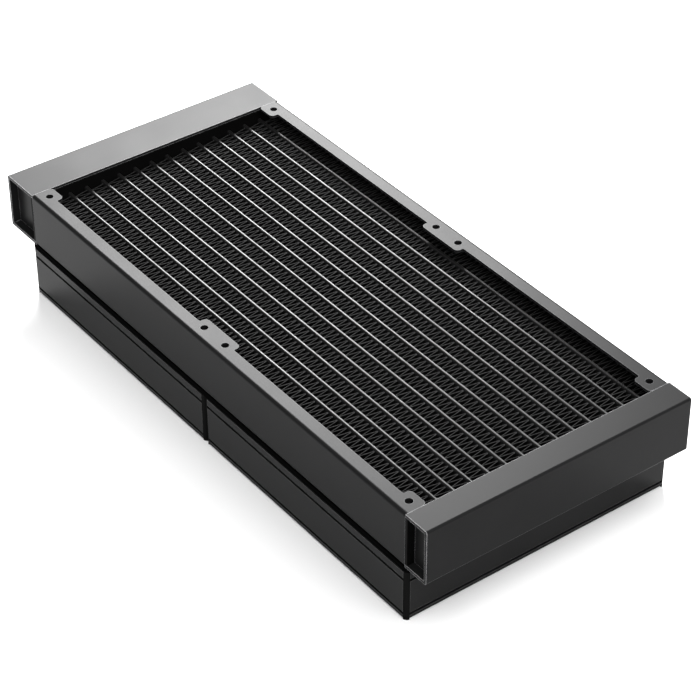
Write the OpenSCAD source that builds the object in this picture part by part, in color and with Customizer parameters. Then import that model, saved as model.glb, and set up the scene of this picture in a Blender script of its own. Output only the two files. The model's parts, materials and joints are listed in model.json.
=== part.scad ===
// Liquid cooling radiator with two fans under it.
// +X runs from the long tank with the ports to the short return tank, +Z is up.
// The origin is at the middle of the footprint, on the surface that the fans rest on.

/* [Radiator] */
// Width across the two side plates
rad_w = 136.6; // [134:0.2:138]
// Height of the tanks and side plates
rad_h = 27; // [25:0.5:30]
// Length between the two tanks
core_len = 275.4; // [275:0.2:278]
// Length of the tank that carries the two ports
port_tank_l = 21.6; // [18:0.2:30]
// Length of the tank that turns the flow back
return_tank_l = 13.4; // [10:0.2:20]
// Wall thickness of the tanks and header plates
tank_wall = 1.4; // [1:0.1:2]
// Depth that the tank end caps sit in from the side faces
cap_inset = 3.8; // [2:0.2:5]

/* [Core] */
// Number of flat coolant tubes
tube_count = 14; // [8:1:14]
// Thickness of a tube across its two flat sides
tube_t = 2; // [1.6:0.1:2.4]
// Depth of a tube in the direction of the air
tube_d = 15; // [12:0.5:17]
// Wall thickness of a tube
tube_wall = 0.3; // [0.2:0.05:0.5]
// Length of one full fold of the corrugated fins
fin_period = 3.1; // [2.4:0.1:4]
// Thickness of the fin strip
fin_t = 0.25; // [0.2:0.05:0.35]
// Distance from the nose of a tube to the edge of the fins
fin_drop = 0.8; // [0.4:0.1:1.5]

/* [Side plates] */
// Thickness of the bent sheet
sheet = 1.2; // [1:0.1:1.5]
// Outer radius of the bends
bend_r = 1.6; // [1.5:0.1:2]
// Width of a flange from the side face to its inner edge
flange_w = 7; // [6:0.2:8]
// How far the screw tabs stand in from the flange
tab_w = 3.65; // [3:0.05:4.5]
// Length of a tab past the centre of its screw hole
tab_reach = 4.85; // [4:0.05:5]
// Diameter of the empty screw holes in the upper flanges
upper_hole_d = 3.5; // [3.3:0.1:4]
// Diameter of the lower flanges' holes, at the mean diameter of their screws' thread
lower_hole_d = 3.1; // [2.6:0.1:3.1]

/* [Ports] */
// Inner diameter of the threaded ports
port_d = 11.6; // [10:0.2:12]
// Distance between the two ports
port_pitch = 76; // [50:1:90]
// Length of a threaded port
port_l = 9.4; // [6:0.2:10]
// Height of the port collars above the tank face
port_stand = 1; // [0.6:0.1:2]

/* [Fans] */
// Length of each fan frame along the radiator
fan_l = 139.7; // [138:0.1:139.7]
// Width of each fan frame across the radiator
fan_w = 138; // [136:0.5:140]
// Height of a fan frame
fan_h = 25; // [24:0.5:28]
// Distance between the centres of the two fans
fan_step = 140; // [140:0.5:142]
// Distance between the screw holes of one fan
hole_pitch = 124.5; // [122:0.5:125]
// Inner radius of the round duct
duct_r = 65; // [62:0.5:65]
// Gap between the blade tips and the duct
tip_gap = 1; // [0.8:0.1:2]
// Number of blades on an impeller
blade_count = 9; // [5:1:11]
// Angle that a blade turns through over its height
blade_twist = 36; // [24:1:40]
// Thickness of the gasket between the fans and the radiator
gasket_h = 2; // [1:0.5:3]

/* [Motor] */
// Outer radius of the impeller hub
hub_r = 22; // [21:0.5:24]
// Radius of the shaft
shaft_r = 1.5; // [1.2:0.1:2]
// Running clearance between the shaft and its bearing
shaft_gap = 0.04; // [0.02:0.01:0.1]
// Gap between the stator poles and the magnet ring
air_gap = 0.5; // [0.4:0.1:0.8]

/* [Hidden] */
FAN_PARTS = ["frame", "side_covers", "impeller", "rotor_yoke", "magnet_ring",
             "shaft", "bearing", "stator_core"];

$fn = 96;
cut = 1;      // how far a cutting shape runs past the face it cuts
fit = 0.03;   // soldering and assembly gap between two fixed pieces
sink = 0.5;   // how far one shape runs into another that it grows out of

// Heights
rad_z = fan_h + gasket_h;
mid_z = rad_z + rad_h / 2;
fin_h = tube_d - 2 * fin_drop;

// Lengths and widths
core_x = (port_tank_l + port_stand - return_tank_l) / 2;
plate_l = core_len - 2 * fit;
web_y = rad_w / 2 - sheet;
tank_bend_r = 1;
port_neck_r = port_d / 2 + 2;
port_collar_r = port_neck_r + 2;
port_lead_in = 0.6;     // depth and width of the chamfer at a port's mouth
outer_row_extra = 0.75; // how much wider the two outer rows of fins are than the tube pitch
tube_pitch = 2 * (web_y - outer_row_extra) / (tube_count + 1);
tube_in_tank = 1.6;     // how far the tubes reach past the header plates
tube_l = core_len + 2 * (tank_wall + tube_in_tank);
header_gap = 0.8;       // gap between the fins and a header plate
fin_folds = floor((core_len - 2 * header_gap) / fin_period);
crest_out = 0.12 * fin_period;
mitre = 0.83;           // how much shorter a crest is inside its fold, in strip thicknesses
crest_in = crest_out - mitre * fin_t;

// Screw tabs of the side plates
tab_corner_r = 2;
tab_foot_r = 0.8;
thread_collar_r = 2.9;
thread_collar_h = 1.6;

// Fan frame
corner_r = 2.2;
corner_block = 11;
corner_post = 1.9;   // width of the bare corners beside the side covers
flange_h = 3.8;
duct_wall = 1.8;
cover_t = 1.8;
cover_z = 0.9;
cover_top_gap = 0.2;   // distance from the upper edge of the side covers to the top of the frame
cover_h = fan_h - cover_z - cover_top_gap;
cover_end_gap = 0.15;
groove_w = 1.5;
groove_d = 1.3;
low_groove_z = 2.3;
high_groove_z = fan_h - 4.9;
cable_notch = [8, 3.2];
frame_hole_r = 2.15;
gasket_hole_r = 2.4;
gasket_inset = 0.5;

// Fan screws
screw_r = lower_hole_d / 2 - fit;
head_r = 3.3;
head_h = 2;
counterbore_h = 2.3;
counterbore_r = head_r + 0.4;
cross_slot = [4, 0.9, 1.1];

// Motor carrier, with heights above the underside of the fan
base_z = fan_h - 3.4;
base_h = 2.6;
base_r = hub_r + 1;
strut_w = 4;
strut_lead = 0.55 * base_r;   // distance from the fan's centre line to the middle of a strut

// Hub and blades
hub_z = 1.2;
hub_h = base_z - 1.2 - hub_z;
hub_wall = 1.6;
blade_t = 1.5;
blade_z = 2.4;
blade_h = hub_h - 1.4;
blade_root = 0.8;   // how far a blade runs into the hub
blade_sweep = 16;   // angle by which a blade's tip lies behind its root

// Rotor yoke, magnet and bearing
yoke_r = hub_r - hub_wall;
yoke_wall = 1.2;
yoke_z = hub_z + hub_wall;
yoke_h = hub_h - hub_wall - 0.8;
collar_r = shaft_r + 1.8;
collar_h = 4;
press_fit = 0.01;
magnet_r = yoke_r - yoke_wall;
magnet_t = 2.5;
magnet_z = yoke_z + yoke_wall + 1;
magnet_h = yoke_h - 2.6;
bearing_r = shaft_r + 1.5;
bearing_z = yoke_z + 5.2;
bearing_end = 0.2;   // how far the bearing lies inside each end of its tube
bearing_tube_r = bearing_r + 1.2;

// Stator, coils and driver board
pole_r = magnet_r - magnet_t - air_gap;
pole_rim = 2;
pole_slot = 3;
neck_w = 5;
yoke_boss = 2.2;
core_h = 8;
stator_z = yoke_z + 6;
coil_w = 10;
coil_h = core_h + 3;
coil_in = bearing_tube_r + 2.9;
coil_out = pole_r - 3.2;
board_t = 1.4;
board_z = base_z - 1 - board_t;
board_r = pole_r - 0.6;
board_hole_r = bearing_tube_r + 0.3;
spacer_r = pole_r - 1.6;
spacer_wall = 1.5;

function numbered(name, i) = str(name, "_", i < 10 ? "0" : "", i);
function fan_node(f, part) = str("fan_", f, "_", part);
function tube_y(i) = (i - (tube_count + 1) / 2) * tube_pitch;
function fan_x(f) = (f - 1.5) * fan_step;

// Inner and outer edges of a fin row: the outermost rows reach the side plates
function row_low(i) = i == 1 ? -web_y : tube_y(i - 1) + tube_t / 2;
function row_high(i) = i == tube_count + 1 ? web_y : tube_y(i) - tube_t / 2;

// ---------- shared outlines ----------

// Rectangle from the y axis to depth, with its two far corners rounded
module round_ended(depth, h, r) {
    square([depth - r, h]);
    translate([0, r]) square([depth, h - 2 * r]);
    translate([depth - r, r]) circle(r);
    translate([depth - r, h - r]) circle(r);
}

// Section of a channel that is open towards the y axis
module channel(depth, h, t, r) {
    difference() {
        round_ended(depth, h, r);
        translate([-cut, t]) square([depth - t + cut, h - 2 * t]);
    }
}

// Flat oval centred on the origin and standing upright
module flat_oval(w, h) {
    square([w, h - w], center = true);
    for (s = [-1, 1]) translate([0, s * (h - w) / 2]) circle(w / 2, $fn = 32);
}

// Rectangle with round corners, centred on the origin
module round_rectangle(l, w, r) {
    square([l - 2 * r, w], center = true);
    square([l, w - 2 * r], center = true);
    for (x = [-1, 1]) for (y = [-1, 1])
        translate([x * (l / 2 - r), y * (w / 2 - r)]) circle(r);
}

module ring(r_out, r_in, h) {
    difference() {
        cylinder(r = r_out, h = h);
        translate([0, 0, -cut]) cylinder(r = r_in, h = h + 2 * cut);
    }
}

// Carries a shape drawn for the +X end of the core to the chosen end: -1 port, 1 return
module at_end(end) {
    translate([core_x, 0, rad_z])
        mirror([end < 0 ? 1 : 0, 0, 0])
            translate([core_len / 2, 0, 0]) children();
}

// ---------- tanks ----------

// Channel lying across the end of the core, with its open side to the core
module tank_channel(len) {
    rotate([90, 0, 0])
        linear_extrude(height = rad_w, center = true)
            channel(len, rad_h, tank_wall, tank_bend_r);
}

module port_tank() {
    color("#3a3a3a") at_end(-1) difference() {
        tank_channel(port_tank_l);
        for (s = [-1, 1]) port_axis(s)
            cylinder(r = port_neck_r + fit, h = 3 * tank_wall, center = true);
    }
}

module return_tank() {
    color("#3a3a3a") at_end(1) tank_channel(return_tank_l);
}

// Plate that closes the core side of a tank, with one slot for each tube
module header_plate(end) {
    color("#2c2c2c") at_end(end) difference() {
        translate([0, -rad_w / 2, tank_wall + fit])
            cube([tank_wall, rad_w, rad_h - 2 * tank_wall - 2 * fit]);
        for (i = [1 : tube_count])
            translate([-cut, tube_y(i), rad_h / 2])
                rotate([90, 0, 90])
                    linear_extrude(height = tank_wall + 2 * cut)
                        flat_oval(tube_t + 2 * fit, tube_d + 2 * fit);
    }
}

// The two plates let into the open ends of a tank
module tank_caps(end, len) {
    color("#2f2f2f") at_end(end)
        for (s = [-1, 1])
            translate([len / 2, s * (rad_w - tank_wall - 2 * cap_inset) / 2, rad_h / 2])
                cube([len - 2 * tank_wall - 2 * fit, tank_wall,
                      rad_h - 2 * tank_wall - 2 * fit], center = true);
}

// Wall across the middle of the port tank, between the inlet and outlet halves
module flow_baffle() {
    color("#8a8a86") at_end(-1)
        translate([tank_wall + fit, -sheet / 2, tank_wall + fit])
            cube([port_tank_l - 2 * tank_wall - 2 * fit, sheet,
                  rad_h - 2 * tank_wall - 2 * fit]);
}

// Places a shape on the outer face of the port tank, pointing away from it
module port_axis(s) {
    translate([port_tank_l, s * port_pitch / 2, rad_h / 2]) rotate([0, 90, 0]) children();
}

// Threaded port with a collar outside the tank wall
module port(s) {
    color("#33373a") at_end(-1) port_axis(s) difference() {
        union() {
            cylinder(r = port_collar_r, h = port_stand);
            translate([0, 0, port_stand - port_l]) cylinder(r = port_neck_r, h = port_l);
        }
        translate([0, 0, port_stand - port_l - cut]) cylinder(d = port_d, h = port_l + 2 * cut);
        translate([0, 0, port_stand - port_lead_in])
            cylinder(r1 = port_d / 2, r2 = port_d / 2 + port_lead_in + cut, h = port_lead_in + cut);
    }
}

// ---------- side plates ----------

// Plan of the +Y flange: a strip with rounded screw tabs standing in from it
module flange_plan() {
    edge = rad_w / 2 - flange_w;
    end_tab = plate_l / 2 - (fan_step + hole_pitch) / 2 + tab_reach;
    mid_tab = fan_step - hole_pitch + 2 * tab_reach;
    translate([-plate_l / 2, edge]) square([plate_l, flange_w - bend_r]);
    tab(0, mid_tab, edge, [-1, 1]);
    tab(-(plate_l - end_tab) / 2, end_tab, edge, [1]);
    tab((plate_l - end_tab) / 2, end_tab, edge, [-1]);
}

// One tab; each free side has a rounded corner and a small fillet at its foot
module tab(x, len, edge, free_sides) {
    r = tab_corner_r;
    foot = tab_foot_r;
    translate([x - len / 2, edge - tab_w + r]) square([len, tab_w - r + cut]);
    translate([x - len / 2 + r, edge - tab_w]) square([len - 2 * r, tab_w]);
    for (s = [-1, 1]) translate([x + s * (len / 2 - r), edge - tab_w + r]) circle(r);
    for (s = free_sides)
        translate([x + s * len / 2, edge]) difference() {
            translate([-foot, -foot]) square(2 * foot);
            translate([s * foot, -foot]) circle(foot, $fn = 48);
        }
}

// Places a shape at each screw hole of the +Y side plate
module at_plate_holes() {
    for (f = [1, 2]) for (e = [-1, 1])
        translate([fan_x(f) + e * hole_pitch / 2, hole_pitch / 2, 0]) children();
}

// Bent side plate: a web with a flange at the top and one at the bottom, and thread collars
module side_plate(s) {
    color("#4a4a4a") translate([core_x, 0, rad_z]) mirror([0, s < 0 ? 1 : 0, 0])
        difference() {
            union() {
                translate([-plate_l / 2, rad_w / 2 - flange_w, 0])
                    rotate([90, 0, 90])
                        linear_extrude(height = plate_l)
                            channel(flange_w, rad_h, sheet, bend_r);
                for (z = [0, rad_h - sheet])
                    translate([0, 0, z]) linear_extrude(height = sheet) flange_plan();
                at_plate_holes() {
                    translate([0, 0, sheet - sink])
                        cylinder(r = thread_collar_r, h = thread_collar_h + sink);
                    translate([0, 0, rad_h - sheet - thread_collar_h])
                        cylinder(r = thread_collar_r, h = thread_collar_h + sink);
                }
            }
            at_plate_holes() {
                translate([0, 0, -cut]) cylinder(d = lower_hole_d, h = rad_h / 2);
                translate([0, 0, rad_h / 2]) cylinder(d = upper_hole_d, h = rad_h / 2 + cut);
            }
        }
}

module side_plate_front() { side_plate(-1); }
module side_plate_rear() { side_plate(1); }

// ---------- core ----------

// Flat coolant tube running through both header plates
module tube(i) {
    color("#8d8d8d") translate([core_x - tube_l / 2, tube_y(i), mid_z])
        rotate([90, 0, 90])
            linear_extrude(height = tube_l) difference() {
                flat_oval(tube_t, tube_d);
                flat_oval(tube_t - 2 * tube_wall, tube_d - 2 * tube_wall);
            }
}

// One side of the folded strip: points along the crests at the high and low edges
function fin_side(high, low, high_half, low_half) = [
    for (k = [0 : 2 * fin_folds - 1])
        let (x = (k - fin_folds + 0.5) * fin_period / 2,
             up = k % 2 == 0,
             half = up ? high_half : low_half)
        for (e = [-1, 1]) [x + e * half, up ? high : low]];

function reversed(list) = [for (i = [len(list) - 1 : -1 : 0]) list[i]];

// Corrugated fin strip filling the gap beside a tube
module fin_row(i) {
    low = row_low(i);
    high = row_high(i);
    color("#2a2a2a") translate([core_x, 0, mid_z - fin_h / 2])
        linear_extrude(height = fin_h)
            polygon(concat(
                fin_side(high, low + fin_t, crest_out, crest_in),
                reversed(fin_side(high - fin_t, low, crest_in, crest_out))));
}

module inlet_port() { port(-1); }
module outlet_port() { port(1); }

// ---------- fans ----------

module at_fan(f) { translate([core_x + fan_x(f), 0, 0]) children(); }

module at_corners() {
    for (x = [-1, 1]) for (y = [-1, 1]) translate([x, y, 0] * hole_pitch / 2) children();
}

// The four sides of a fan: +Y points out of the side, which is $side_l long
module at_sides() {
    for (a = [0 : 90 : 270]) rotate([0, 0, a]) {
        lengthways = a % 180 == 0;
        $side_l = lengthways ? fan_l : fan_w;
        translate([0, (lengthways ? fan_w : fan_l) / 2, 0]) children();
    }
}

// Frame of a fan: two square flanges, a round duct, corner blocks and the motor carrier
module fan_frame(f) {
    color("#161616") at_fan(f) difference() {
        union() {
            frame_flange(0);
            frame_flange(fan_h - flange_h);
            cylinder(r = duct_r + duct_wall, h = fan_h);
            intersection() {
                linear_extrude(height = fan_h) round_rectangle(fan_l, fan_w, corner_r);
                for (x = [-1, 1]) for (y = [-1, 1])
                    translate([x * fan_l / 2, y * fan_w / 2, fan_h / 2])
                        cube([2 * corner_block, 2 * corner_block, fan_h], center = true);
            }
        }
        translate([0, 0, -cut]) cylinder(r = duct_r, h = fan_h + 2 * cut);
        at_corners() {
            translate([0, 0, -cut]) cylinder(r = frame_hole_r, h = fan_h + 2 * cut);
            translate([0, 0, -cut]) cylinder(r = counterbore_r, h = counterbore_h + cut);
        }
        at_sides() translate([-$side_l / 2 + corner_post, -cover_t, -cut])
            cube([$side_l - 2 * corner_post, cover_t + cut, fan_h + 2 * cut]);
        translate([-cable_notch[0] / 2, duct_r + duct_wall, fan_h - cable_notch[1]])
            cube([cable_notch[0], fan_w / 2, cable_notch[1] + cut]);
    }
    color("#161616") at_fan(f) motor_carrier();
}

module frame_flange(z) {
    translate([0, 0, z]) linear_extrude(height = flange_h) round_rectangle(fan_l, fan_w, corner_r);
}

// Motor base on slanting struts, with the tube that holds the bearing
module motor_carrier() {
    strut_l = sqrt(pow(duct_r + 2 * sink, 2) - pow(strut_lead + strut_w / 2, 2));
    difference() {
        union() {
            translate([0, 0, base_z]) cylinder(r = base_r, h = base_h);
            for (a = [30 : 90 : 300]) rotate([0, 0, a])
                translate([strut_lead - strut_w / 2, 0, base_z]) cube([strut_w, strut_l, base_h]);
            translate([0, 0, bearing_z])
                cylinder(r = bearing_tube_r, h = base_z - bearing_z + sink);
            translate([0, 0, board_z + board_t])
                ring(spacer_r, spacer_r - spacer_wall, base_z - board_z - board_t + sink);
        }
        translate([0, 0, bearing_z - cut]) cylinder(r = bearing_r + fit, h = base_z - bearing_z + cut);
    }
}

// Four trim plates with two long grooves, let into the sides of a fan frame
module fan_side_covers(f) {
    color("#404040") at_fan(f) difference() {
        at_sides() difference() {
            end = corner_post + cover_end_gap;
            translate([-$side_l / 2 + end, fit - cover_t, cover_z])
                cube([$side_l - 2 * end, cover_t - fit, cover_h]);
            for (z = [low_groove_z, high_groove_z])
                translate([-$side_l / 2, -groove_d, z]) cube([$side_l, groove_d + cut, groove_w]);
        }
        translate([-cable_notch[0] / 2, fan_w / 2 - 2 * cover_t, fan_h - cable_notch[1]])
            cube([cable_notch[0], 3 * cover_t, cable_notch[1]]);
    }
}

// Plan of one blade: a swept bar that widens to keep its true thickness on the helix
function blade_edge(side) = [
    for (k = [0 : 6])
        let (r = hub_r - blade_root + (duct_r - tip_gap - hub_r + blade_root) * k / 6,
             climb = blade_twist * PI / 180 / blade_h,
             half = blade_t / 2 * sqrt(1 + pow(r * climb, 2)),
             sweep = -blade_sweep * pow(max(0, r - hub_r) / (duct_r - hub_r), 2),
             a = sweep + side * asin(half / r))
        [r * cos(a), r * sin(a)]];

module blade() {
    linear_extrude(height = blade_h, twist = -blade_twist, slices = 8, $fn = 14)
        polygon(concat(blade_edge(-1), reversed(blade_edge(1))));
}

// Hub cup, open towards the motor carrier, with the blades around it
module fan_impeller(f) {
    color("#1c1c1c") at_fan(f) difference() {
        union() {
            translate([0, 0, hub_z]) cylinder(r = hub_r, h = hub_h);
            for (k = [0 : blade_count - 1])
                translate([0, 0, blade_z]) rotate([0, 0, k * 360 / blade_count]) blade();
        }
        translate([0, 0, yoke_z]) cylinder(r = yoke_r + fit, h = hub_h);
    }
}

// Steel cup pressed into the hub, with a collar that grips the shaft
module fan_rotor_yoke(f) {
    color("silver") at_fan(f) translate([0, 0, yoke_z + fit]) difference() {
        union() {
            cylinder(r = yoke_r, h = yoke_wall);
            ring(yoke_r, yoke_r - yoke_wall, yoke_h);
            cylinder(r = collar_r, h = collar_h);
        }
        translate([0, 0, -cut]) cylinder(r = shaft_r + press_fit, h = yoke_h);
    }
}

module fan_magnet_ring(f) {
    color("#4b4038") at_fan(f) translate([0, 0, magnet_z])
        ring(magnet_r - fit, magnet_r - magnet_t, magnet_h);
}

module fan_shaft(f) {
    color("silver") at_fan(f) translate([0, 0, yoke_z + 2 * fit])
        cylinder(r = shaft_r, h = base_z - sink - yoke_z);
}

module fan_bearing(f) {
    color("#b08d4f") at_fan(f) translate([0, 0, bearing_z + bearing_end])
        ring(bearing_r, shaft_r + shaft_gap, base_z - bearing_z - 2 * bearing_end);
}

// Four-pole laminated core on the bearing tube
module fan_stator_core(f) {
    color("#7d8084") at_fan(f) translate([0, 0, stator_z])
        linear_extrude(height = core_h) difference() {
            union() {
                circle(bearing_tube_r + yoke_boss);
                for (a = [0, 90]) rotate(a) square([2 * pole_r - pole_rim, neck_w], center = true);
                difference() {
                    circle(pole_r);
                    circle(pole_r - pole_rim);
                    for (a = [45, 135]) rotate(a) square([3 * pole_r, pole_slot], center = true);
                }
            }
            circle(bearing_tube_r + fit);
        }
}

// Four coils on the necks of each stator
module fan_windings() {
    color("#a4532a")
        for (f = [1, 2]) at_fan(f) for (a = [0 : 90 : 270]) rotate([0, 0, a])
            translate([(coil_in + coil_out) / 2, 0, stator_z + core_h / 2]) difference() {
                cube([coil_out - coil_in, coil_w, coil_h], center = true);
                cube([coil_out, neck_w + 2 * fit, core_h + 2 * fit], center = true);
            }
}

// Ring-shaped driver boards above the stators
module fan_circuit_boards() {
    color("#1f5a33")
        for (f = [1, 2]) at_fan(f) translate([0, 0, board_z])
            ring(board_r, board_hole_r, board_t - fit);
}

// Foam gasket with a round opening for each fan and clearance for the screws
module fan_gasket() {
    color("#0c0c0c") translate([core_x, 0, fan_h]) difference() {
        linear_extrude(height = gasket_h)
            square([fan_step + fan_l, fan_w] - 2 * [gasket_inset, gasket_inset], center = true);
        for (f = [1, 2]) translate([fan_x(f), 0, -cut]) {
            cylinder(r = duct_r, h = gasket_h + 2 * cut);
            at_corners() cylinder(r = gasket_hole_r, h = gasket_h + 2 * cut);
        }
    }
}

// Long screws that hold the fans to the lower flanges
module fan_screws() {
    head_z = counterbore_h - head_h;
    shank_z = counterbore_h - sink;
    color("#101010")
        for (f = [1, 2]) at_fan(f) at_corners() difference() {
            union() {
                translate([0, 0, head_z]) cylinder(r = head_r, h = head_h);
                translate([0, 0, shank_z])
                    cylinder(r = screw_r, h = rad_z + sheet + thread_collar_h - shank_z);
            }
            for (a = [45, 135]) rotate([0, 0, a])
                translate([-cross_slot[0] / 2, -cross_slot[1] / 2, head_z - cut])
                    cube(cross_slot + [0, 0, cut]);
        }
}

// ---------- the whole part ----------

module fan_part(f, part) {
    if (part == "frame") fan_frame(f);
    if (part == "side_covers") fan_side_covers(f);
    if (part == "impeller") fan_impeller(f);
    if (part == "rotor_yoke") fan_rotor_yoke(f);
    if (part == "magnet_ring") fan_magnet_ring(f);
    if (part == "shaft") fan_shaft(f);
    if (part == "bearing") fan_bearing(f);
    if (part == "stator_core") fan_stator_core(f);
}

port_tank();
return_tank();
header_plate(-1);  // port_header
header_plate(1);  // return_header
tank_caps(-1, port_tank_l);  // port_tank_caps
tank_caps(1, return_tank_l);  // return_tank_caps
flow_baffle();
inlet_port();
outlet_port();
side_plate_front();
side_plate_rear();
for (i = [1 : tube_count])
    tube(i);
for (i = [1 : tube_count + 1])
    fin_row(i);
for (f = [1, 2]) for (part = FAN_PARTS)
    fan_part(f, part);
fan_windings();
fan_circuit_boards();
fan_gasket();
fan_screws();
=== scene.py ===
import json
import math

import bpy
import numpy as np
from mathutils import Matrix, Vector


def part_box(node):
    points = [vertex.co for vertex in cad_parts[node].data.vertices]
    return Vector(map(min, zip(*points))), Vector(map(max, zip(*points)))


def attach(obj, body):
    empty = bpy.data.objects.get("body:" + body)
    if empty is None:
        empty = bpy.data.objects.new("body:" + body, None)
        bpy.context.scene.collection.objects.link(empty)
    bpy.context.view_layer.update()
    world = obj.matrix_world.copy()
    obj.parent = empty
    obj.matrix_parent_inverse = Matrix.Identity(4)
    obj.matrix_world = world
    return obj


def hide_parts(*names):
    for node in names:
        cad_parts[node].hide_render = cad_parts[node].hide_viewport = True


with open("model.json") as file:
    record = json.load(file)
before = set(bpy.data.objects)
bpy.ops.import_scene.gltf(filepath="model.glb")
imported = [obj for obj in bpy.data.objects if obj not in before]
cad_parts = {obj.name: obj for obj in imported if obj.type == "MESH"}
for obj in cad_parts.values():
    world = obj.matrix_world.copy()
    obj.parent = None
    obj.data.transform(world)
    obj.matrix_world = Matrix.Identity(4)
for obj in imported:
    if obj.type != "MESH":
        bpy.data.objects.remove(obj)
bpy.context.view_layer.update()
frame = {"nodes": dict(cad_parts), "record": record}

NODES = frame["nodes"]
SLOT_OF = {s["node"]: s["material_slot"] for s in frame["record"]["subparts"]}
FANS = (1, 2)
MM = 0.001

# ---------- places read from the frame ----------

CORE_LOW, CORE_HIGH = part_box("side_plate_front")[0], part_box("side_plate_rear")[1]
CORE = (CORE_LOW + CORE_HIGH) / 2
TOP = CORE_HIGH.z
FIN_LOW, FIN_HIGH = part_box("fin_row_01")


def numbered(prefix):
    """The CAD nodes whose names start with prefix, in order."""
    return sorted(name for name in NODES if name.startswith(prefix))


# ---------- camera ----------

AIM = Vector((CORE.x + 41.7 * MM, CORE.y - 22.7 * MM, TOP))
AZIMUTH, ELEVATION, ROLL = (math.radians(a) for a in (53.23, 37.16, -0.17))
DISTANCE = 1030.4 * MM
SENSOR = 36.0
LENS = 127.5
NEAREST, FARTHEST = 0.05, 50    # metres from the camera between which things are drawn


def facing(direction):
    """Rotation that points a camera or a light along direction."""
    return direction.to_track_quat("-Z", "Y").to_matrix().to_4x4()


def add_camera():
    """Camera at the photograph's angle, looking at a point on the core's top plane."""
    data = bpy.data.cameras.new("Camera")
    data.sensor_width = SENSOR
    data.lens = LENS
    data.dof.use_dof = False
    data.clip_start, data.clip_end = NEAREST, FARTHEST
    camera = bpy.data.objects.new("Camera", data)
    bpy.context.scene.collection.objects.link(camera)
    back = Vector((
        math.sin(AZIMUTH) * math.cos(ELEVATION),
        -math.cos(AZIMUTH) * math.cos(ELEVATION),
        math.sin(ELEVATION),
    ))
    place = Matrix.Translation(AIM + back * DISTANCE)
    camera.matrix_world = place @ facing(-back) @ Matrix.Rotation(ROLL, 4, "Z")
    bpy.context.scene.camera = camera


# ---------- light and floor ----------
# Lengths are in metres, and the lights' places are taken from the middle of the core's top.

HORIZON = 0.15                    # strength of the dim white surroundings
OVERHEAD_W = 92
OVERHEAD_PLACE = Vector((0.9, -0.2, 1.6))
OVERHEAD_SIZE = (3.0, 3.0)
SOFT_BOX_W = 64
SOFT_BOX_BEHIND = 1.283           # away from the camera
SOFT_BOX_ASIDE = -0.069           # to the camera's right
SOFT_BOX_ABOVE = 0.859
SOFT_BOX_SIZE = (0.526, 0.482)
FLOOR_REACH = 6.0                 # half of the floor's side
FLOOR_COLOUR = (0.86, 0.86, 0.86, 1)
FLOOR_ROUGH = 0.9


def area_light(name, place, aim, size, power):
    """Rectangular soft light at place, facing aim."""
    data = bpy.data.lights.new(name, "AREA")
    data.shape = "RECTANGLE"
    data.size, data.size_y = size
    data.energy = power
    light = bpy.data.objects.new(name, data)
    bpy.context.scene.collection.objects.link(light)
    light.matrix_world = Matrix.Translation(place) @ facing(aim - place)


def add_lights():
    """Dim surroundings, a large light overhead and a soft box behind the object."""
    scene = bpy.context.scene
    scene.view_settings.view_transform = "Standard"
    world = bpy.data.worlds.new("Studio")
    world.use_nodes = True
    background = world.node_tree.nodes["Background"]
    background.inputs["Color"].default_value = (1, 1, 1, 1)
    background.inputs["Strength"].default_value = HORIZON
    scene.world = world

    middle = Vector((CORE.x, CORE.y, TOP))
    area_light("Overhead", middle + OVERHEAD_PLACE, middle, OVERHEAD_SIZE, OVERHEAD_W)
    behind = Vector((-math.sin(AZIMUTH), math.cos(AZIMUTH), 0)) * SOFT_BOX_BEHIND
    aside = Vector((math.cos(AZIMUTH), math.sin(AZIMUTH), 0)) * SOFT_BOX_ASIDE
    place = middle + behind + aside + Vector((0, 0, SOFT_BOX_ABOVE))
    area_light("SoftBox", place, middle, SOFT_BOX_SIZE, SOFT_BOX_W)


def add_floor():
    """Pale matt floor under the object."""
    signs = ((-1, -1), (1, -1), (1, 1), (-1, 1))
    mesh = bpy.data.meshes.new("Floor")
    mesh.from_pydata([(x * FLOOR_REACH, y * FLOOR_REACH, 0) for x, y in signs], [], [(0, 1, 2, 3)])
    floor = bpy.data.objects.new("Floor", mesh)
    bpy.context.scene.collection.objects.link(floor)
    material = bpy.data.materials.new("PaleFloor")
    material.use_nodes = True
    shader = material.node_tree.nodes["Principled BSDF"]
    shader.inputs["Base Color"].default_value = FLOOR_COLOUR
    shader.inputs["Roughness"].default_value = FLOOR_ROUGH
    mesh.materials.append(material)


# ---------- materials ----------

NOISE_LOW, NOISE_HIGH = 0.3, 0.7    # most of a noise texture's values lie between these
GRAIN_DETAIL = 3
BLOTCH_DETAIL = 5
BLOTCH_CONTRAST = 0.12      # how far the colour goes to either side of the base colour
EDGE_BREAKUP_DETAIL = 3
EDGE_BREAKUP_FINENESS = 9          # noise that breaks up the lighter edges, real wear and painted highlight alike, is this many times finer than the blotches
EDGE_BREAKUP_LEAST = 0.35          # part of the edge lightening, real wear and painted highlight alike, that the weakest breakup leaves
BEVEL_SAMPLES = 4
FULL_WEAR_AND_HIGHLIGHT = 0.8            # dot product of the rounded and the true normal where the edge lightening, real wear and painted highlight alike, is full
BARE_TIMES, BARE_MORE = 3, 0.01     # where wear_and_highlight_colour isn't given, it is so many times the base, and more
BUMP_DEPTH = 0.2 * MM


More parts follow.
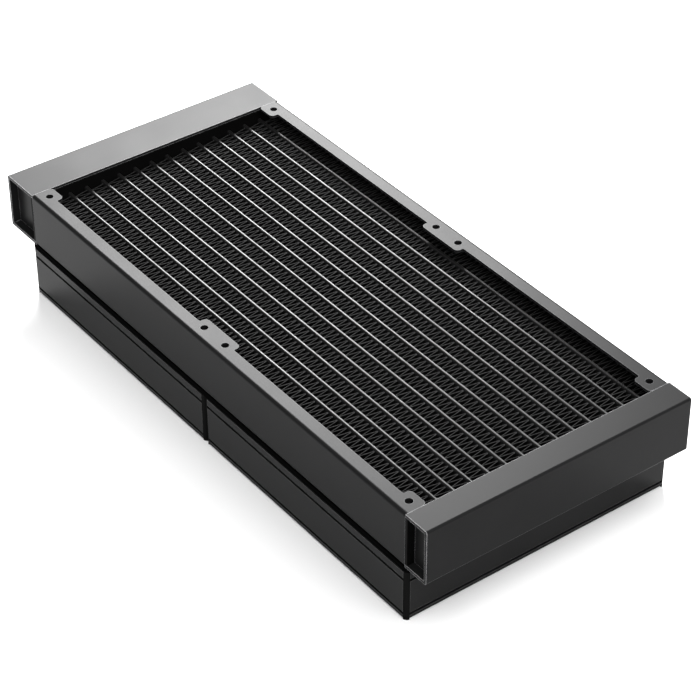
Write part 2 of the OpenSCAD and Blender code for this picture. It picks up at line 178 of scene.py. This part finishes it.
class Finish:
    """A new material's node tree, with short ways to add to it."""

    def __init__(self, name, stretch):
        self.material = bpy.data.materials.new(name)
        self.material.use_nodes = True
        self.tree = self.material.node_tree
        self.shader = self.tree.nodes["Principled BSDF"].inputs
        self.coords = self.add("ShaderNodeTexCoord").outputs["Object"]
        if stretch:
            mapping = self.add("ShaderNodeMapping")
            mapping.inputs["Scale"].default_value = stretch
            self.link(self.coords, mapping.inputs["Vector"])
            self.coords = mapping.outputs["Vector"]

    def add(self, kind, **settings):
        """New node of this kind."""
        node = self.tree.nodes.new(kind)
        for key, value in settings.items():
            setattr(node, key, value)
        return node

    def link(self, output, target):
        """Joins a node's output to another node's input."""
        self.tree.links.new(output, target)

    def noise(self, scale, detail):
        """Noise texture's value."""
        node = self.add("ShaderNodeTexNoise")
        node.inputs["Scale"].default_value = scale
        node.inputs["Detail"].default_value = detail
        self.link(self.coords, node.inputs["Vector"])
        return node.outputs["Fac"]

    def remap(self, value, from_low, from_high, low, high):
        """Value moved from one range to another, and held inside the new one."""
        node = self.add("ShaderNodeMapRange")
        ends = {"From Min": from_low, "From Max": from_high, "To Min": low, "To Max": high}
        for socket, number in ends.items():
            node.inputs[socket].default_value = number
        self.link(value, node.inputs["Value"])
        return node.outputs["Result"]

    def spread(self, noise, low, high):
        """Noise spread between low and high."""
        return self.remap(noise, NOISE_LOW, NOISE_HIGH, low, high)

    def maths(self, operation, first, second):
        """Result of a Math node on two outputs."""
        node = self.add("ShaderNodeMath", operation=operation)
        self.link(first, node.inputs[0])
        self.link(second, node.inputs[1])
        return node.outputs["Value"]

    def blend(self, factor, first, second):
        """Mix of two colours; each is three numbers or a node's output."""
        node = self.add("ShaderNodeMix", data_type="RGBA")
        self.link(factor, node.inputs["Factor"])
        for socket, value in (("A", first), ("B", second)):
            target = next(s for s in node.inputs if s.name == socket and s.type == "RGBA")
            if hasattr(value, "links"):
                self.link(value, target)
            else:
                target.default_value = (*value, 1)
        return next(s for s in node.outputs if s.type == "RGBA")

    def edge_wear_and_highlight(self, radius, wear_and_highlight_from, wear_and_highlight):
        """Lighter convex edges, where the Bevel node's rounded normal leans away from the true one:
        real wear, and a painted highlight where the edge colour is light.
        """
        bevel = self.add("ShaderNodeBevel", samples=BEVEL_SAMPLES)
        bevel.inputs["Radius"].default_value = radius
        dot = self.add("ShaderNodeVectorMath", operation="DOT_PRODUCT")
        self.link(bevel.outputs["Normal"], dot.inputs[0])
        self.link(self.add("ShaderNodeNewGeometry").outputs["Normal"], dot.inputs[1])
        return self.remap(dot.outputs["Value"], wear_and_highlight_from, FULL_WEAR_AND_HIGHLIGHT, 0, wear_and_highlight)

    def painted_top_highlight(self, top, depth, wear_and_highlight):
        """Painted highlight on thin upright strips: lighter colour that grows over depth towards their
        upper edge.
        """
        axes = self.add("ShaderNodeSeparateXYZ")
        self.link(self.coords, axes.inputs["Vector"])
        return self.remap(axes.outputs["Z"], top - depth, top, 0, wear_and_highlight)


def surface(name, base, rough, *, metal=0.0, gloss=0.3, blotch=35.0, grain=1800.0, bump=0.05,
            rough_vary=0.06, wear_and_highlight=0.25, wear_and_highlight_colour=None, edge=0.35 * MM, wear_and_highlight_from=0.99,
            top_band=None, stretch=None):
    """Procedural finish: blotchy colour, fine grain in bump and roughness, and lighter edges, which
    are real wear on most finishes and a painted highlight where the edge colour is light.

    gloss is the specular level. blotch and grain are noise scales, and stretch scales them by axis.
    The wear-and-highlight amount is how far the colour goes to the lighter edge colour on an edge,
    edge is the radius that marks edges, and the wear-and-highlight start is the dot product of
    normals where the lightening starts. Where top_band is given, as a height and a depth, only the
    upper edge is lightened, as a painted highlight.
    """
    finish = Finish(name, stretch)
    finish.shader["Metallic"].default_value = metal
    finish.shader["Specular IOR Level"].default_value = gloss

    fine = finish.noise(grain, GRAIN_DETAIL)
    patches = finish.noise(blotch, BLOTCH_DETAIL)
    dark, light = (tuple(c * k for c in base) for k in (1 - BLOTCH_CONTRAST, 1 + BLOTCH_CONTRAST))
    colour = finish.blend(finish.spread(patches, 0, 1), dark, light)

    # Lighter edges: real wear on most finishes, and a painted highlight on the tanks', side plates'
    # and covers' edges and on the fins' upper band.
    if top_band:
        wear_and_highlight_mask = finish.painted_top_highlight(*top_band, wear_and_highlight)
    else:
        wear_and_highlight_mask = finish.edge_wear_and_highlight(edge, wear_and_highlight_from, wear_and_highlight)
    edge_breakup = finish.spread(finish.noise(blotch * EDGE_BREAKUP_FINENESS, EDGE_BREAKUP_DETAIL), EDGE_BREAKUP_LEAST, 1)
    broken_wear_and_highlight = finish.maths("MULTIPLY", wear_and_highlight_mask, edge_breakup)
    bare_and_highlight_colour = wear_and_highlight_colour or tuple(min(1, BARE_TIMES * c + BARE_MORE) for c in base)
    finish.link(finish.blend(broken_wear_and_highlight, colour, bare_and_highlight_colour), finish.shader["Base Color"])

    grainy = finish.spread(fine, rough - rough_vary, rough)
    patchy = finish.spread(patches, 0, rough_vary)
    finish.link(finish.maths("ADD", grainy, patchy), finish.shader["Roughness"])

    relief = finish.add("ShaderNodeBump")
    relief.inputs["Strength"].default_value = bump
    relief.inputs["Distance"].default_value = BUMP_DEPTH
    finish.link(fine, relief.inputs["Height"])
    finish.link(relief.outputs["Normal"], finish.shader["Normal"])
    return finish.material


# Upper edge of a fin strip that is centred on its origin, and the depth of the band below it that is
# painted lighter as a highlight.
FIN_HIGHLIGHT_BAND = ((FIN_HIGH.z - FIN_LOW.z) / 2, 0.4 * MM)

MATERIALS = {
    # Painted highlight: the near-white edge colour draws bright lines along the tanks' edges.
    "tank_paint": surface(
        "TankPaint", (0.009, 0.009, 0.0092), 0.38, gloss=0.050, bump=0.02, rough_vary=0.03,
        wear_and_highlight=0.8, wear_and_highlight_colour=(0.5, 0.5, 0.51), edge=0.6 * MM, wear_and_highlight_from=0.93),
    # Painted shade: the headers are a darker, less glossy copy of the black paint, so they stay black
    # as if in the tanks' shade.
    "header_paint": surface("HeaderPaintShaded", (0.003, 0.003, 0.003), 0.5, gloss=0.02, wear_and_highlight=0.1),
    # Painted highlight: the light edge colour draws bright rims on the side plates' edges, tabs and
    # holes.
    "side_plate_paint": surface(
        "SidePlatePaint", (0.008, 0.008, 0.0082), 0.37, gloss=0.052, bump=0.02, rough_vary=0.03,
        wear_and_highlight=0.7, wear_and_highlight_colour=(0.25, 0.25, 0.26), edge=0.45 * MM),
    "port_metal": surface("PortMetal", (0.03, 0.03, 0.032), 0.28, metal=0.4, wear_and_highlight=0.5),
    "baffle_brass": surface("BaffleBrass", (0.62, 0.5, 0.25), 0.35, metal=1.0),
    "tube_paint": surface("TubePaint", (0.008, 0.008, 0.008), 0.30, gloss=0.205, wear_and_highlight=0.1),
    # Painted highlight: the fins' upper band is lighter, as if lit from above, over a very dark strip.
    "fin_paint": surface(
        "FinPaint", (0.0015, 0.0015, 0.0015), 0.42, gloss=0.012, blotch=120,
        wear_and_highlight=1.0, wear_and_highlight_colour=(0.055, 0.055, 0.055), top_band=FIN_HIGHLIGHT_BAND),
    "frame_plastic": surface(
        "FramePlastic", (0.005, 0.005, 0.005), 0.6, gloss=0.01, bump=0.1, grain=2600, wear_and_highlight=0.1),
    # Painted highlight: the light edge colour draws bright lines along the covers' edges and grooves.
    "cover_satin": surface(
        "CoverSatin", (0.008, 0.008, 0.0082), 0.34, gloss=0.061, bump=0.03, rough_vary=0.03,
        wear_and_highlight=0.8, wear_and_highlight_colour=(0.13, 0.13, 0.13), edge=0.4 * MM),
    "impeller_plastic": surface(
        "ImpellerPlastic", (0.014, 0.014, 0.0144), 0.5, gloss=0.08, bump=0.1, wear_and_highlight=0.1),
    "rotor_steel": surface("RotorSteel", (0.5, 0.5, 0.51), 0.35, metal=1.0),
    "magnet": surface("Magnet", (0.07, 0.06, 0.055), 0.8),
    "bearing_bronze": surface("BearingBronze", (0.6, 0.42, 0.2), 0.4, metal=1.0),
    "stator_steel": surface("StatorSteel", (0.35, 0.36, 0.38), 0.45, metal=0.9),
    "copper_wire": surface("CopperWire", (0.62, 0.26, 0.12), 0.3, metal=0.8, stretch=(1, 1, 8)),
    "circuit_board": surface("CircuitBoard", (0.03, 0.16, 0.07), 0.4),
    "gasket_foam": surface(
        "GasketFoam", (0.002, 0.002, 0.002), 0.95, gloss=0.0, bump=0.6, grain=1400, wear_and_highlight=0),
    "screw_black": surface("ScrewBlack", (0.015, 0.015, 0.015), 0.35, metal=0.5, wear_and_highlight=0.5),
}

# ---------- mesh building ----------


def piece(name, mesh, body, slot, *nodes, place=(0, 0, 0)):
    """Adds an object with this mesh that rides on a body and stands for the CAD nodes."""
    obj = bpy.data.objects.new(name, mesh)
    obj.location = place
    bpy.context.scene.collection.objects.link(obj)
    if not mesh.materials:
        mesh.materials.append(MATERIALS[slot])
    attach(obj, body)
    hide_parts(*nodes)


def make_mesh(name, points, faces, smooth=None):
    """Mesh from points and faces; smooth is the angle in degrees below which edges look round."""
    mesh = bpy.data.meshes.new(name)
    mesh.from_pydata(np.asarray(points).tolist(), [], faces)
    mesh.update()
    if smooth:
        mesh.polygons.foreach_set("use_smooth", [True] * len(mesh.polygons))
        mesh.set_sharp_from_angle(angle=math.radians(smooth))
    return mesh


def lofts(sections):
    """Points and faces of many solids at once; sections[solid][station][corner] are their points."""
    count, stations, corners, _ = sections.shape
    faces = []
    for solid in range(count):
        start = solid * stations * corners
        rings = [range(start + s * corners, start + (s + 1) * corners) for s in range(stations)]
        for low, high in zip(rings, rings[1:]):
            for here in range(corners):
                after = (here + 1) % corners
                faces.append((low[here], low[after], high[after], high[here]))
        faces.append(tuple(reversed(rings[0])))
        faces.append(tuple(rings[-1]))
    return sections.reshape(-1, 3), faces


def raised(plan, z):
    """Points of a plan at height z."""
    return np.concatenate([plan, np.full(plan.shape[:-1] + (1,), z)], -1)


def upright(plan, low, high):
    """Prisms from low to high; plan[solid][corner] are their corners."""
    return lofts(np.stack([raised(plan, z) for z in (low, high)], 1))


def joined(parts):
    """Several (points, faces) as one."""
    points, faces, start = [], [], 0
    for some, their_faces in parts:
        points.append(some)
        faces += [tuple(start + i for i in face) for face in their_faces]
        start += len(some)
    return np.concatenate(points), faces


# ---------- fins ----------

FOLDS = 88                  # full folds along a row
CREST_SHARE = 0.08          # half of a crest's length, in fold lengths
STRIP = 0.17 * MM           # thickness at the crests
SLAT_STRIP = 0.15 * MM      # thickness of the slats and margins
INNER_CORNER = 0.83         # a crest's inner corner is this many thicknesses nearer to its middle
LOUVRES = 8                 # slats that each leg of a fold is cut into
MARGIN = 1.0 * MM           # uncut strip at the upper and lower edge
LEG_SHARE = 0.13            # part of a leg that stays uncut beside each crest
OVERLAP_SHARE = 0.01        # part of a leg over which slats and margins reach into that
TWIST_SHARE = 0.07          # part of a leg over which a slat's end twists
LEAN = 0.15 * MM            # how far a slat's edge stands out of the leg


class Folds:
    """Plan of a corrugated strip, centred on the origin, with folds from -y to +y and back.

    k is the number of a crest, or of the leg from that crest to the next, or an array of them.
    """

    def __init__(self, length, width):
        period = length / (FOLDS - 0.5 + 2 * CREST_SHARE)
        order = np.arange(2 * FOLDS)
        self.last = len(order) - 1
        self.crest = CREST_SHARE * period
        self.inner = self.crest - INNER_CORNER * STRIP
        self.x = (order - self.last / 2) * period / 2
        self.out = np.where(order % 2 == 0, 1, -1) * width / 2
        self.back = self.out - np.sign(self.out) * STRIP

    def outside(self, k, shift):
        """Point on a crest's outer face, at a shift along x from its middle."""
        return np.stack([self.x[k] + shift, self.out[k]], -1)

    def inside(self, k, shift):
        """Point on a crest's inner face."""
        return np.stack([self.x[k] + shift, self.back[k]], -1)

    def leg(self, k, share, thickness):
        """The two faces of a leg, at a share of its length."""
        one = self.outside(k, self.crest) * (1 - share) + self.inside(k + 1, -self.inner) * share
        other = self.inside(k, self.inner) * (1 - share) + self.outside(k + 1, -self.crest) * share
        middle, half = (one + other) / 2, (one - other) / 2 * thickness / STRIP
        return middle + half, middle - half

    def crests(self):
        """Corners of every crest but the first and the last, with the uncut ends of its legs."""
        k = np.arange(1, self.last)
        left = self.leg(k - 1, 1 - LEG_SHARE, STRIP)
        right = self.leg(k, LEG_SHARE, STRIP)
        return np.stack([
            left[1], self.outside(k, -self.crest), self.outside(k, self.crest), right[0],
            right[1], self.inside(k, self.inner), self.inside(k, -self.inner), left[0],
        ], 1)

    def ends(self):
        """Corners of the first and the last crest, each with a leg on one side only."""
        plan = []
        last = self.last
        for k, leg, share, side in ((0, 0, LEG_SHARE, 1), (last, last - 1, 1 - LEG_SHARE, -1)):
            near, far = self.leg(leg, share, STRIP)[::side]
            plan.append([
                self.outside(k, -side * self.crest), self.outside(k, side * self.crest), near,
                far, self.inside(k, side * self.inner), self.inside(k, -side * self.crest),
            ])
        return np.array(plan)

    def margins(self, start, end):
        """Corners of every leg between two shares of its length."""
        k = np.arange(self.last)
        near, far = (self.leg(k, share, SLAT_STRIP) for share in (start, end))
        return np.stack([near[0], far[0], far[1], near[1]], 1)

    def slats(self, start, end, low, high, lean):
        """One slat in every leg, from low to high; its edges lean out along x."""
        k = np.arange(self.last)
        shares = (start, start + TWIST_SHARE, end - TWIST_SHARE, end)
        stations = []
        for share, shift in zip(shares, (0, lean, lean, 0)):
            one, other = self.leg(k, share, SLAT_STRIP)
            stations.append(np.stack([
                raised(one + [-shift, 0], low), raised(one + [shift, 0], high),
                raised(other + [shift, 0], high), raised(other + [-shift, 0], low),
            ], 1))
        return lofts(np.stack(stations, 1))


def fin_mesh(name, length, width, height):
    """Corrugated strip with louvres, centred on the origin."""
    folds = Folds(length, width)
    bottom, top = -height / 2, height / 2
    parts = [upright(folds.crests(), bottom, top), upright(folds.ends(), bottom, top)]

    start, end = LEG_SHARE - OVERLAP_SHARE, 1 - LEG_SHARE + OVERLAP_SHARE
    for low in (bottom, top - MARGIN):
        parts.append(upright(folds.margins(start, end), low, low + MARGIN))

    pitch = (height - 2 * MARGIN) / LOUVRES
    for slat in range(LOUVRES):
        low = bottom + MARGIN + slat * pitch
        lean = LEAN if slat < LOUVRES / 2 else -LEAN
        parts.append(folds.slats(start, end, low, low + pitch, lean))
    return make_mesh(name, *joined(parts))


def add_fins():
    """Louvred strips in the place of the plain ones; rows of equal width share one mesh."""
    meshes = {}
    for node in numbered("fin_row_"):
        low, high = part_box(node)
        size = high - low
        key = round(size.y / MM, 2)
        if key not in meshes:
            meshes[key] = fin_mesh("FinStrip_%d" % (len(meshes) + 1), *size)
        piece("Louvred_" + node, meshes[key], "root", "fin_paint", node, place=(low + high) / 2)


# ---------- turned pieces ----------

ROUND_STEPS = 4             # straight steps that a rounded corner is drawn with
SIDE_LIMIT = 0.45           # largest part of a side that the rounding of one corner takes up


def turned(rows, segments):
    """Points and faces of a solid of revolution about z.

    rows is a closed loop of (radius, z); a row may also give its own pair for each segment.
    """
    turn = np.arange(segments) * 2 * math.pi / segments
    rows = np.asarray(rows, float)
    if rows.ndim == 2:
        rows = np.repeat(rows[:, None], segments, axis=1)
    radius, z = rows[..., 0], rows[..., 1]
    points = np.stack([radius * np.cos(turn), radius * np.sin(turn), z], -1).reshape(-1, 3)
    faces, count = [], len(rows)
    for row in range(count):
        low, high = row * segments, (row + 1) % count * segments
        for here in range(segments):
            after = (here + 1) % segments
            faces.append((low + here, low + after, high + after, high + here))
    return points, faces


def rounded(corners, radius):
    """Closed outline with each corner rounded; a corner may give its own radius as a third value."""
    corners = [tuple(c) for c in corners]
    outline = []
    for before, here, after in zip(corners[-1:] + corners[:-1], corners, corners[1:] + corners[:1]):
        reach = here[2] if len(here) > 2 else radius
        spot = Vector(here[:2])
        into, away = (Vector(c[:2]) - spot for c in (before, after))
        reach = min(reach, into.length * SIDE_LIMIT, away.length * SIDE_LIMIT)
        start, end = spot + into.normalized() * reach, spot + away.normalized() * reach
        for step in range(ROUND_STEPS + 1):
            t = step / ROUND_STEPS
            outline.append(start * (1 - t) ** 2 + spot * 2 * t * (1 - t) + end * t ** 2)
    return [tuple(v) for v in outline]


# ---------- ports ----------

PORT_SEGMENTS = 96
PORT_BORE = 5.8 * MM        # radius between the grooves of the thread
PORT_NECK = 7.8 * MM        # radius of the part inside the tank's wall
PORT_COLLAR = 1 * MM        # height of the collar above the tank's face
PORT_MOUTH = 0.8 * MM       # chamfer at the mouth
COLLAR_ROUND = 0.3 * MM
COLLAR_FILLET = 0.1 * MM    # between the neck and the collar
MOUTH_ROUND = 0.15 * MM     # outer edge of the chamfer
THREAD_PITCH = 1.337 * MM
THREAD_DEPTH = 0.75 * MM
THREAD_ROWS = 10            # rows of points in one pitch
GROOVE_FLOOR = 0.15         # half of the groove's width at its floor, in pitches
GROOVE_EDGE = 0.4           # and at the bore


def thread_rows(length):
    """Rows of (radius, z) down the bore; the helical groove fades out towards both ends."""
    turn = np.arange(PORT_SEGMENTS) / PORT_SEGMENTS
    rows = []
    for down in np.arange(PORT_MOUTH, length, THREAD_PITCH / THREAD_ROWS):
        off_middle = np.abs((down / THREAD_PITCH + turn) % 1 - 0.5)
        fade = np.clip((min(down, length - down) - PORT_MOUTH) / THREAD_PITCH, 0, 1)
        groove = np.clip((GROOVE_EDGE - off_middle) / (GROOVE_EDGE - GROOVE_FLOOR), 0, 1)
        radius = PORT_BORE + THREAD_DEPTH * fade * groove
        rows.append(np.stack([radius, np.full(PORT_SEGMENTS, length - down)], -1))
    return rows


def add_port(node):
    """Threaded port: a bore with a helical groove, a chamfered mouth and a rounded collar."""
    low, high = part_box(node)
    length, radius = high.x - low.x, (high.z - low.z) / 2
    shoulder = length - PORT_COLLAR
    outside = rounded([
        (PORT_NECK, 0), (PORT_NECK, shoulder, COLLAR_FILLET), (radius, shoulder),
        (radius, length), (PORT_BORE + PORT_MOUTH, length, MOUTH_ROUND),
    ], COLLAR_ROUND)
    # The bore closes this outline, so half of its first and its last arc is left out.
    half_arc = ROUND_STEPS // 2
    around = [np.repeat([row], PORT_SEGMENTS, axis=0) for row in outside[half_arc:-half_arc]]
    inner_end = [np.repeat([(r, 0)], PORT_SEGMENTS, axis=0) for r in (PORT_BORE, PORT_NECK)]
    points, faces = turned(np.array(around + thread_rows(length) + inner_end), PORT_SEGMENTS)
    spot = (low + high) / 2
    points = np.stack([high.x - points[:, 2], spot.y + points[:, 0], spot.z + points[:, 1]], -1)
    mesh = make_mesh("Threaded_" + node, points, faces, smooth=40)
    piece("Threaded_" + node, mesh, "root", "port_metal", node)


# ---------- impellers ----------
# Heights are above the fan's lower face.

CLEARANCE = 0.02 * MM               # the blades stay this far inside the plain impeller's box
BLADES = 9
BLADE_LOW, BLADE_HIGH = 2.4 * MM, 20.2 * MM
BLADE_TWIST = math.radians(36)      # turn from a blade's lower edge to its upper edge
BLADE_SWEEP = math.radians(-16)     # turn of the tip against the hub
BLADE_CAMBER = 0.07                 # bow of a section's middle line, as a part of the twist
BLADE_T = 1.9 * MM                  # greatest thickness at the hub
BLADE_THINNING = 0.35               # part of the thickness that is lost at the tip
BLADE_ROOT = 0.8 * MM               # depth inside the hub where a blade starts
BLADE_STATIONS = 12                 # sections from the root to the tip
SECTION_POINTS = 12                 # points along each side of a section
SECTION_SWELL = 2.2                 # how fast a section thickens above its lower edge
SECTION_TAPER = 0.8                 # how fast it thins towards its upper edge
SECTION_EDGE = 0.12                 # thickness at both edges, on the same scale as the swell

HUB_SEGMENTS = 120
HUB_R = 22 * MM
HUB_LOW, HUB_HIGH = 1.2 * MM, 20.4 * MM
HUB_ROUND = 2 * MM                  # edge of the closed end
DISH_R, DISH_EDGE_R = 16.5 * MM, 17.2 * MM      # shallow dish in the middle of the closed end
DISH_DEPTH = 0.5 * MM
DISH_ROUND = 0.4 * MM               # foot of the dish's slope
RIM_ROUND = 0.3 * MM                # edge of the open end
CUP_R, CUP_FLOOR = 20.43 * MM, 2.8 * MM         # space for the rotor yoke
FINE_ROUND = 0.2 * MM               # edges of the dish and of the cup
PINHOLE_R = 0.3 * MM                # the outline ends beside the axis


def blade_sections(tip, angle):
    """Airfoil sections of one blade from inside the hub to the tip, each on its own cylinder."""
    chord = (1 - np.cos(np.linspace(0, math.pi, SECTION_POINTS))) / 2
    shape = SECTION_SWELL * np.sqrt(chord) * (1 - chord) ** SECTION_TAPER + SECTION_EDGE
    camber = BLADE_CAMBER * np.sin(math.pi * chord)
    height = BLADE_HIGH - BLADE_LOW
    root = HUB_R - BLADE_ROOT
    sections = []
    for share in np.linspace(0, 1, BLADE_STATIONS):
        radius = root + share * (tip - root)
        past_hub = max(0, radius - HUB_R) / (tip - HUB_R)
        thickness = BLADE_T * (1 - BLADE_THINNING * past_hub)
        lead = radius * BLADE_TWIST
        across = np.array([height, -lead]) / math.hypot(height, lead)
        trim = thickness / 2 * abs(across[1]) + CLEARANCE
        middle = np.stack([
            radius * (BLADE_TWIST * (chord + camber) + BLADE_SWEEP * past_hub ** 2),
            BLADE_LOW + trim + chord * (height - 2 * trim),
        ], -1)
        half = thickness / 2 * shape[:, None] / shape.max()
        loop = np.concatenate([middle + half * across, (middle - half * across)[::-1]])
        turn = loop[:, 0] / radius + angle
        sections.append(np.stack([radius * np.cos(turn), radius * np.sin(turn), loop[:, 1]], -1))
    return np.array(sections)


def hub_outline():
    """Rounded outline of the hub: a cup that is open at the top, with a shallow dish below."""
    dish = HUB_LOW + DISH_DEPTH
    return rounded([
        (PINHOLE_R, dish, 0), (DISH_R, dish), (DISH_EDGE_R, HUB_LOW, FINE_ROUND),
        (HUB_R, HUB_LOW, HUB_ROUND), (HUB_R, HUB_HIGH, RIM_ROUND), (CUP_R, HUB_HIGH, FINE_ROUND),
        (CUP_R, CUP_FLOOR, FINE_ROUND), (PINHOLE_R, CUP_FLOOR, 0),
    ], DISH_ROUND)


def add_impeller(fan):
    """Impeller with airfoil blades and a rounded hub, in the place of the plain one."""
    node = "fan_%d_impeller" % fan
    low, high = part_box(node)
    tip = (high.x - low.x) / 2 - CLEARANCE
    axis = (low + high) / 2
    blades = np.array([blade_sections(tip, k * 2 * math.pi / BLADES) for k in range(BLADES)])
    points, faces = joined([turned(hub_outline(), HUB_SEGMENTS), lofts(blades)])
    points = points + np.array([axis.x, axis.y, low.z - HUB_LOW])
    mesh = make_mesh("Bladed_" + node, points, faces, smooth=35)
    piece("Bladed_" + node, mesh, "fan_%d_rotor" % fan, "impeller_plastic", node)


# ---------- finish on the CAD nodes ----------

ROUNDINGS = (               # width of the rounded edges, and the nodes that have it
    (0.2 * MM, ["port_tank", "return_tank", "port_tank_caps", "return_tank_caps"]),
    (0.18 * MM, ["side_plate_front", "side_plate_rear"]),
    (0.3 * MM, ["fan_%d_frame" % fan for fan in FANS]),
    (0.2 * MM, ["fan_%d_side_covers" % fan for fan in FANS]),
    (0.15 * MM, ["fan_screws"]),
)
FLAT_ANGLE = math.radians(0.5)      # faces that meet at less than this are one flat face
SHARP_ANGLE = math.radians(35)      # edges sharper than this are rounded
ROUNDING_SEGMENTS = 3


def soften(node, width):
    """Rounds the sharp edges of a CAD node with modifiers; its own mesh stays as it is."""
    flat = node.modifiers.new("Flat", "DECIMATE")
    flat.decimate_type = "DISSOLVE"
    flat.angle_limit = FLAT_ANGLE
    bevel = node.modifiers.new("Rounding", "BEVEL")
    bevel.width = width
    bevel.segments = ROUNDING_SEGMENTS
    bevel.limit_method = "ANGLE"
    bevel.angle_limit = SHARP_ANGLE
    bevel.use_clamp_overlap = True


def finish_cad_nodes():
    """Materials on all the CAD nodes, and rounded edges where they show."""
    for name, node in NODES.items():
        node.data.materials.clear()
        node.data.materials.append(MATERIALS[SLOT_OF[name]])
    for width, names in ROUNDINGS:
        for name in names:
            soften(NODES[name], width)


# ---------- build ----------

add_camera()
add_lights()
add_floor()
finish_cad_nodes()
add_fins()
for port in ("inlet_port", "outlet_port"):
    add_port(port)
for fan in FANS:
    add_impeller(fan)
